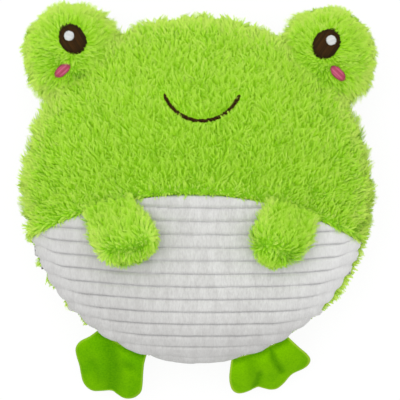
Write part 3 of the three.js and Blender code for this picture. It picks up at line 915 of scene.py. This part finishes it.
# Satin stitches side by side over an oval on a dome
given = new_stitches(
    "stitched oval",
    oval_middle=(0.0, 0.0, 0.0),
    half_width=0.008,
    half_length=0.01,
    lean=0.0,
    dome_middle=(0.0, 0.0, 0.0),
    dome_radius=LOBE_RADIUS,
    dome_rise=LOBE_RISE,
    loft=0.0008,
)
half_width, half_length, lean = given["Half width"], given["Half length"], given["Lean"]
count = half_width * 2.0 / given["Thread step"]
share = (put("GeometryNodeInputIndex") + 0.5) / count * 2.0 - 1.0
chord = (1.0 - share * share).math("MAXIMUM", 0.0).math("SQRT")
reach = (chord + chance(6, -0.05, 0.1)) * half_length
slip = chance(7, -0.09, 0.03) * half_length
values = {"at": share * half_width, "reach": reach, "slip": slip, "tone": chance(8, 0.0, 1.0)}
shape, wide, along, high = threads(given, count, **values)
across = number("at") + wide
run = along * number("reach") + number("slip")
middle_x, middle_y, _ = given["Oval middle"].parts()
x = middle_x + across * lean.math("COSINE") - run * lean.math("SINE")
y = middle_y + across * lean.math("SINE") + run * lean.math("COSINE")
from_rim = (across / half_width) ** 2.0 + (run / half_length) ** 2.0
loft = (1.0 - from_rim * from_rim).math("MAXIMUM", -1.0) * given["Loft"]
# Painted shade: the threads darken towards the oval's rim, where the fur around it falls over
shape = stored(shape, tone=number("tone") * from_rim.ramp(0.3, 1.0, 1.0, 0.2))
z = dome_top(given, x, y) + loft + high
stitched_oval = end_tree(given, shape, put("ShaderNodeCombineXYZ", x, y, z))

white_thread = thread_material("white thread", WHITE_DARK, WHITE_LIGHT)
pink_thread = thread_material("pink thread", PINK_DARK, PINK_LIGHT)
OVALS = (
    ("eye", EYE, brown_thread, "brown_thread", STITCH_INSET),
    ("eye_glint", GLINT, white_thread, "white_thread", GLINT_INSET),
    ("cheek", CHEEK, pink_thread, "pink_thread", STITCH_INSET),
)
for side, name in ((1, "left"), (-1, "right")):
    middle = (side * LOBE_MIDDLE[0], *LOBE_MIDDLE[1:])
    for face, part in ((1, "front"), (-1, "back")):
        rows = lobe_cap(side, SKIN_INSET, face, 34, 84)
        skin = mesh_of(f"eye_lobe_{part}_ground_{name}", rows, closed=True)
        place = places(skin)
        offset = place - (middle[0] + side * EYE[name][0], middle[1] + EYE[name][1], middle[2])
        out = offset * (1, 1, 0) / np.maximum(np.hypot(offset[:, 0], offset[:, 1]), 1e-6)[:, None]
        far = np.hypot(place[:, 0] - middle[0], place[:, 1] - middle[1]) / (LOBE_RADIUS - SKIN_INSET)
        by_rim = smooth(0.7, 0.95, far)
        nap = out * (0.65 - 0.15 * by_rim)[:, None] + np.array([0, 0.35, 0]) * (1 - by_rim)[:, None]
        in_body = share_of_body(place)
        corner = smooth(1.3, 1.12, in_body) * by_rim
        pile = smooth(0.985, 1.03, in_body) * (1 - (0.08 if face > 0 else 0.3) * by_rim + 0.6 * corner)
        if face > 0:
            pile *= off_oval(place, middle, EYE, name, side, 1.12)
            pile *= off_oval(place, middle, CHEEK, name, side, 1.5)
        # Painted light, more towards the rim and where the lobe stands out past the body
        light = (0.18 + 0.7 * by_rim) * (0.4 + 0.6 * np.maximum(smooth(1.03, 1.2, in_body), corner))
        write(skin, nap=nap, pile=pile, light=light)
        furred(f"eye_lobe_{part}_fur_{name}", skin, (-1.0, 1.0), Seed=31 + 2 * side + face, **LOBE_PILE)
        backed(skin, f"eye_lobe_{part}_{name}")
    front, back = (lobe_cap(side, FILLING_INSET, face, 14, 40) for face in (1, -1))
    stuffed(f"eye_lobe_stuffing_{name}", np.concatenate([front, back[::-1]]), f"eye_lobe_filling_{name}")
    for label, oval, thread, slot, inset in OVALS:
        values = {
            "Oval middle": (middle[0] + side * oval[name][0], middle[1] + oval[name][1], 0.0),
            "Half width": oval["half"][0],
            "Half length": oval["half"][1],
            "Lean": -side * oval["lean"],
            "Dome middle": middle,
            "Inset": inset,
            "Material": thread,
        }
        embroidered(f"{label}_{name}", stitched_oval, values, ("fibre", "at", "reach", "slip"), slot)

# Arms. Each is one stuffed tube of the same fur, flat where it is sewn in under the face and full at the
# paw. Its pile is longer, and parts before the tip: it lies back up over the seam, and forward over the paw.
ARM_HALF_THICKNESS = 0.013
ARM_ROOT_HALF_THICKNESS = 0.0046
ARM_ROOT_SUNK = 0.0062  # how deep the sewn end is pressed into the pile around it
ARM_DIP = radians(6)
ARM_GAP = 0.0004
ARM_PARTING = 0.7  # where its pile parts, and how wide, as shares of its length
ARM_PARTED_WIDTH = 0.16
ARM_PILE = {"Strands per square metre": 5.5e6, "Strand width": 0.00026, "Strand length": 0.0074}
ARM_PILE |= {"Strand stray": radians(20), "Lean": radians(50), "Swirl": 1.7, "Unevenness": 0.25}
ARM_PILE |= {"Tuft spacing": 0.0012, "Tuft pull": 0.75}
# An arm's light is painted light that lightens its fur, a little more on the right arm
ARMS = {
    "left": {
        "side": 1, "offset": 0.062, "lean": radians(17.5), "length": 0.0392, "half_width": 0.0209,
        "root_half_width": 0.0178, "inward": 0.0057, "curl": 0.0108, "swell": 0.34, "light": 0.08,
    },
    "right": {
        "side": -1, "offset": 0.0567, "lean": radians(22), "length": 0.0415, "half_width": 0.0224,
        "root_half_width": 0.0176, "inward": 0.009, "curl": 0.0003, "swell": 0.55, "light": 0.15,
    },
}


def arm_place(arm):
    """Where an arm is sewn to the front, with its own X across it, Y along it and Z out of the body"""
    x, y = arm["side"] * arm["offset"], float(arch_at(arm["offset"]))
    root = Vector((x, y, FRONT_RISE * sqrt(1 - (x * x + y * y) / BODY_RADIUS**2)))
    out = Vector((root.x / BODY_RADIUS**2, root.y / BODY_RADIUS**2, root.z / FRONT_RISE**2)).normalized()
    along = Vector((-arm["side"] * sin(arm["lean"]), -cos(arm["lean"]), 0))
    along = (along - out * along.dot(out)).normalized()
    turned = Matrix((along.cross(out), along, out)).transposed().to_4x4() @ Matrix.Rotation(-ARM_DIP, 4, "X")
    return Matrix.Translation(root + out * ARM_GAP + Vector((0, 0, SEAM_HEIGHT))) @ turned


def arm_bend(arm, share):
    """How far to the side an arm's middle line has bent, at a share of its length"""
    return arm["side"] * share * (arm["inward"] + arm["curl"] * (1 - share))


def arm_rows(arm, inset, rings, columns, start):
    """Rings of points round an arm, from this share of its length to its tip"""
    swell = arm["swell"]
    tip = np.sin(np.linspace(0, pi / 2, rings))
    share = np.concatenate([np.linspace(start, swell, rings // 2, endpoint=False), swell + (1 - swell) * tip])
    past = np.clip((share - swell) / (1 - swell), 0, 1)
    rounded = np.sqrt(1 - past**2)
    inset = inset * (0.45 + 0.55 * smooth(0, 0.35, share))
    root, full = arm["root_half_width"], arm["half_width"]
    width = root + (full - root) * smooth(0, swell, share) - inset
    thickness = (ARM_HALF_THICKNESS - ARM_ROOT_HALF_THICKNESS) * smooth(-0.15, 0.7, share)
    thickness = ARM_ROOT_HALF_THICKNESS + thickness
    turn = np.linspace(0, 2 * pi, columns, endpoint=False)[None, :]
    across = arm_bend(arm, share)[:, None] + (width * rounded)[:, None] * np.cos(turn)
    along = (share * (arm["length"] - inset * past))[:, None] * np.ones_like(turn)
    slant = tan(arm["lean"] - asin(arm["offset"] / ARCH_RADIUS)) * arm["side"]
    along = along + slant * across * (1 - smooth(0, 0.35, share))[:, None]
    height = (thickness * (1 + rounded) / 2 - ARM_ROOT_SUNK * (1 - smooth(-0.1, 0.55, share)))[:, None]
    height = height + ((thickness - inset) * rounded * smooth(-0.01, 0.05, share))[:, None] * np.sin(turn)
    return np.stack([across, along, height], -1)


for name, arm in ARMS.items():
    placement = arm_place(arm)
    axes, root = np.array(placement.to_3x3()), np.array(placement.translation)
    rows = arm_rows(arm, SKIN_INSET, 34, 60, -0.01) @ axes.T + root
    skin = mesh_of(f"arm_ground_{name}", rows, closed=True)
    local = (places(skin) - root) @ axes
    share = local[:, 1] / arm["length"]
    outward = (local[:, 0] - arm_bend(arm, share)) / arm["half_width"]
    parting = share - ARM_PARTING + 0.07 * np.sin(5 * outward + arm["side"])
    downward = 1.7 * smooth(-0.2, 0.2, parting) - 0.85
    nap = np.stack([outward**3, downward, 0 * share], -1) @ axes.T
    parted = np.exp(-((parting / ARM_PARTED_WIDTH) ** 2))
    # Painted light: more at the parting and along both edges of the arm
    light = arm["light"] + 0.2 * parted + 0.55 * smooth(0.45, 0.8, np.abs(outward))
    outer = smooth(0.2, 0.8, -outward * arm["side"]) * smooth(0.1, 0.5, share)
    write(skin, nap=nap, pile=1 - 0.15 * parted + 0.2 * outer, light=light)
    furred(f"arm_fur_{name}", skin, (-1.0, 1.0), f"arm_{name}", Seed=61 + arm["side"], **ARM_PILE)
    backed(skin, f"arm_cover_{name}", body=f"arm_{name}")
    filling = arm_rows(arm, FILLING_INSET, 14, 30, 0.06) @ axes.T + root
    stuffed(f"arm_stuffing_{name}", filling, f"arm_filling_{name}", body=f"arm_{name}")

# Feet. Two sheets of green velour with thin wadding, cut with three webbed toes, sewn together, turned and
# sewn in at the rim. They hang from there, and the webbing between their toes is drawn in.
FOOT_ROOT_RADIUS = 0.1113
FOOT_HINGE_RADIUS = 0.1157
FOOT_PUFF = 0.0042
FOOT_EDGE = 0.0007
FOOT_CREASE = 0.0012
FOOT_BEND = 0.003  # how gently it turns down past the hinge
FOOT_GAP = 0.0002
WADDING_INSET = 0.0013
VELOUR_DEEP = paint("468c00")
VELOUR_GREEN = paint("62ac00")
VELOUR_BRIGHT = paint("84ca00")
VELOUR_LIGHT = paint("acd038")
# Outlines, middles and the lines of creases are in millimetres, from the middle of the toy
FEET = {
    "left": {
        "side": 1, "bright": 1.0, "droop": radians(51), "angle": radians(22.9),
        "outline": (
            (60.9, -94.0), (68.3, -100.8), (73.6, -105.3), (76.1, -109.2), (74.9, -112.9), (71.4, -115.7),
            (64.2, -119.3), (59.2, -125.3), (54.9, -129.0), (50.4, -129.8), (45.8, -128.8), (41.3, -127.8),
            (37.5, -130.0), (32.9, -131.9), (28.7, -132.3), (25.3, -130.2), (23.5, -125.9), (22.9, -120.8),
            (23.4, -114.3), (24.1, -109.0),
        ),
        "creases": (
            (0.0026, 1.0, ((49.3, -101.0), (51.5, -108.5), (57.2, -117.0))),
            (0.003, 1.0, ((42.5, -119.0), (40.0, -128.0))),
            (0.0055, 0.6, ((37.0, -110.0), (41.0, -124.0))),
        ),
        "middle": (46.0, -114.0),
    },
    "right": {
        "side": -1, "bright": 0.15, "droop": radians(42), "angle": radians(25.1),
        "outline": (
            (-63.6, -92.0), (-68.4, -95.6), (-74.0, -98.6), (-76.8, -101.6), (-77.8, -105.1),
            (-77.0, -109.7), (-75.3, -115.5), (-74.4, -120.6), (-73.1, -126.1), (-70.5, -130.0),
            (-66.3, -132.4), (-60.8, -132.3), (-54.0, -131.7), (-51.1, -133.5), (-46.8, -136.3),
            (-43.0, -137.0), (-38.6, -135.9), (-34.9, -132.6), (-33.7, -128.3), (-33.2, -119.9),
            (-32.7, -114.0), (-31.9, -109.9),
        ),
        "creases": (
            (0.0065, 1.0, ((-55.0, -102.5), (-52.0, -116.0), (-53.6, -130.0))),
            (0.0035, 0.7, ((-50.0, -112.0), (-41.0, -116.5))),
            (0.004, 0.5, ((-66.0, -113.0), (-62.0, -126.0))),
        ),
        "middle": (-56.0, -116.0),
    },
}


def foot_outline(foot, count):
    """A foot's outline as seen from above: a smooth line through its corners, closed along the seam"""
    corners = np.array(foot["outline"]) / 1000
    first, last = (np.arctan2(corner[0], -corner[1]) for corner in (corners[0], corners[-1]))
    seam = np.linspace(last, first, 9)
    seam = FOOT_ROOT_RADIUS * np.stack([np.sin(seam), -np.cos(seam)], -1)
    before, after = 2 * corners[0] - corners[1], 2 * corners[-1] - corners[-2]
    knots = np.concatenate([[before], corners, [after]])
    steps = np.linspace(0, 1, 12, endpoint=False)[:, None]
    pieces = []
    for a, b, c, d in zip(knots, knots[1:], knots[2:], knots[3:]):
        curve = (2 * a - 5 * b + 4 * c - d) * steps**2 + (3 * b - a - 3 * c + d) * steps**3
        pieces.append(b + 0.5 * ((c - a) * steps + curve))
    line = np.concatenate([*pieces, corners[-1:], seam])
    closed = np.concatenate([line, line[:1]])
    run = np.concatenate([[0], np.cumsum(np.hypot(*np.diff(closed, axis=0).T))])
    at = np.linspace(0, run[-1], count, endpoint=False)
    return np.stack([np.interp(at, run, closed[:, i]) for i in (0, 1)], -1)


def crease_at(foot, place):
    """How deep a foot is drawn in at a place, from 0 to 1, by creases that have a width, depth and line"""
    deepest = np.zeros(place.shape[:-1])
    for width, depth, line in foot["creases"]:
        for start, end in zip(np.array(line[:-1]) / 1000, np.array(line[1:]) / 1000):
            step = end - start
            share = np.clip(((place - start) @ step) / (step @ step), 0, 1)
            near = np.linalg.norm(place - start - share[..., None] * step, axis=-1)
            deepest = np.maximum(deepest, depth * np.exp(-((near / width) ** 2)))
    return deepest


def foot_rows(foot, face, inset, rings, count):
    """Rings of points over a foot's upper (face 1) or sole (-1), from its edge to its middle, and how far out
    each point lies"""
    middle = np.array(foot["middle"]) / 1000
    share = np.sin(np.linspace(pi / 2, 0, rings))[:, None, None]
    line = foot_outline(foot, count) - middle
    place = middle + share * (line * (1 - inset / np.hypot(*line.T))[:, None])
    share = share[..., 0] * np.ones(count)
    radius = np.hypot(place[..., 0], place[..., 1])
    past = (radius - FOOT_HINGE_RADIUS) / FOOT_BEND
    drop = np.where(past > 12, past, np.log1p(np.exp(np.minimum(past, 12)))) * FOOT_BEND * tan(foot["droop"])
    fullness = np.sqrt(1 - share**2) * smooth(FOOT_ROOT_RADIUS - 0.002, FOOT_HINGE_RADIUS + 0.008, radius)
    drawn = crease_at(foot, place)
    half = FOOT_EDGE + (FOOT_PUFF - inset) * fullness * (1 - 0.55 * drawn) - inset * 0.3
    level = SEAM_HEIGHT - FOOT_GAP - drop - FOOT_CREASE * drawn * fullness * face
    return np.concatenate([place, (level + face * half)[..., None]], -1), share


def hung(piece, name):
    """Bakes where a piece of a foot stands into its mesh"""
    foot = FEET[name]
    out = Vector((foot["side"] * sin(foot["angle"]), -cos(foot["angle"]), 0))
    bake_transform(piece)


# Short-pile green velour: painted light along its edges and on one foot, painted shade in its creases
green_velour = begin(bpy.data.materials.new("green velour"))
pile, strokes = grained(object_place(), 850.0, 48.0)
rim, crease, bright = map(seen, ("rim", "crease", "bright"))
# Painted light: one foot lighter all over than the other
color = blended(bright * 0.55 + strokes.ramp(0.35, 0.65, 0.0, 0.7), VELOUR_GREEN, VELOUR_BRIGHT)
# Painted shade in the creases and near the seam at the body
color = blended(crease * 0.95, color, VELOUR_DEEP)
color = blended(pile.ramp(0.3, 0.7, 0.25, 0.0), color, VELOUR_DEEP)
color = blended(pile.ramp(0.3, 0.7, 0.0, 0.25), color, VELOUR_BRIGHT)
# Painted light along the edges by the seams
color = blended(rim.ramp(0.2, 1.0, 0.0, 0.8) * (bright * 0.5 + 0.5), color, VELOUR_LIGHT)
sheen = {"sheen_weight": 0.06, "sheen_tint": VELOUR_LIGHT}
finish(color, 0.9, pile, 0.5, 0.0003, specular_ior_level=0.03, **sheen)

for name, foot in FEET.items():
    for face, part in ((1, "upper"), (-1, "sole")):
        rows, share = foot_rows(foot, face, 0.0, 26, 150)
        sheet = mesh_of(f"foot_{part}_{name}_velour", rows, closed=True)
        if sum(polygon.normal.z * polygon.area for polygon in sheet.data.polygons) * face < 0:
            sheet.data.flip_normals()
        place = places(sheet)[:, :2]
        rim = smooth(0.9, 0.985, share.ravel()[: len(place)])
        # Painted shade near the seam at the body, and in the creases
        inward = 1 - 0.6 * smooth(FOOT_ROOT_RADIUS + 0.0015, FOOT_ROOT_RADIUS + 0.006, np.hypot(*place.T))
        crease = np.maximum(0.85 * crease_at(foot, place) * (1 - rim), inward - 0.3)
        write(sheet, rim=rim, crease=crease, bright=foot["bright"] + 0 * rim)
        backed(sheet, f"foot_{part}_{name}", body=None, slot="green_velour", material=green_velour)
        hung(sheet, name)
    upper, sole = (foot_rows(foot, face, WADDING_INSET, 12, 60)[0] for face in (1, -1))
    wadding = np.concatenate([upper[::-1], sole])
    hung(stuffed(f"foot_stuffing_{name}", wadding, f"foot_wadding_{name}", body=None), name)

sizes = {"cad": cad_box, "scene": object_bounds()}
